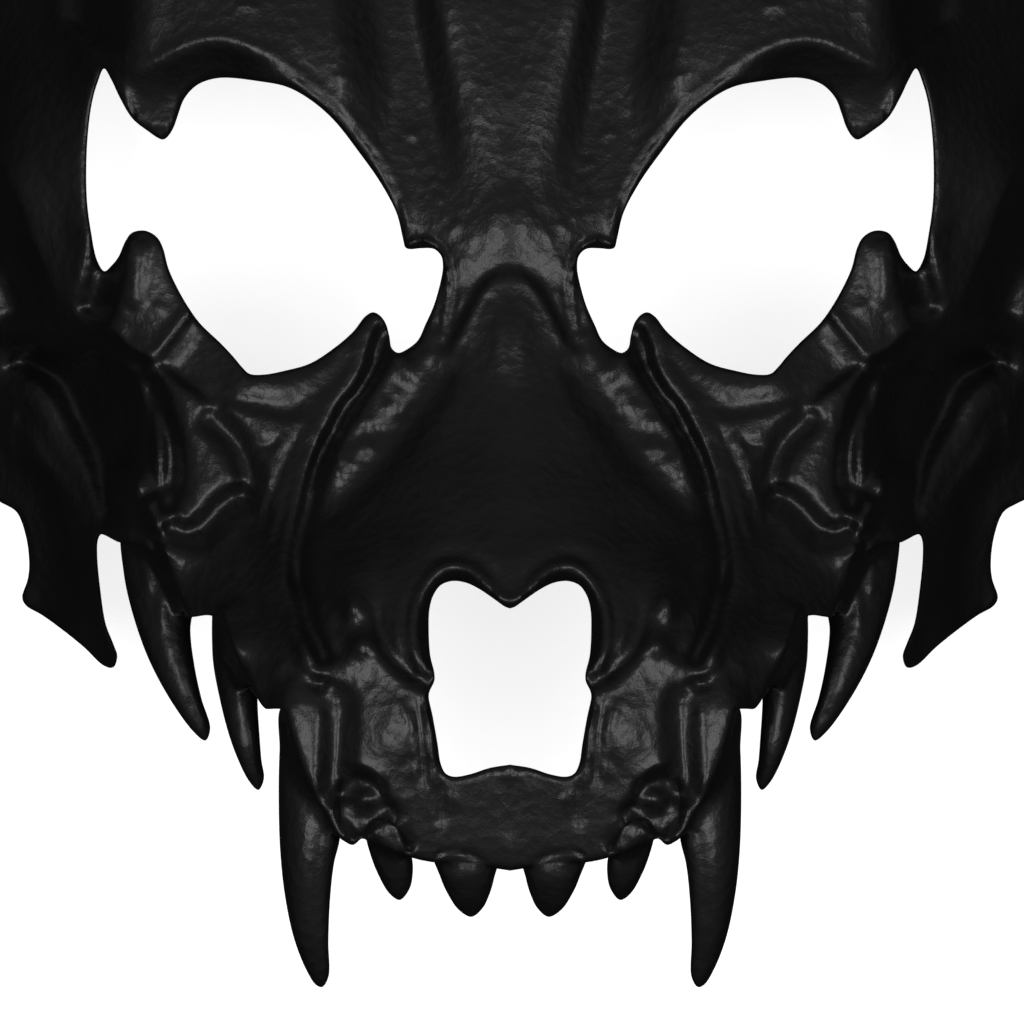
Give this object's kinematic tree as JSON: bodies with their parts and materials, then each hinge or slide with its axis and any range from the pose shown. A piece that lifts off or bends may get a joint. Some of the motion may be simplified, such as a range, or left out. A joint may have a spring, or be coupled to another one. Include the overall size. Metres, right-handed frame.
{
  "type": "fox skull mask",
  "caption": "Hollow one-piece skull mask of a long-fanged, fox-like beast in satin black resin, with open eyes and nose, lying face up on its back rim.",
  "frame": {"origin": "centre of the bounding box at floor level; the mask lies on its flat back rim, so Z = 0 is the rim", "axes": "+X across the face, +Y from the fangs to the top of the forehead, +Z out of the face"},
  "size_m": [0.1442, 0.167, 0.0787],
  "materials": {
    "resin": "satin"
  },
  "bodies": {
    "root": {"skull_mask": "resin"}
  },
  "joints": []
}
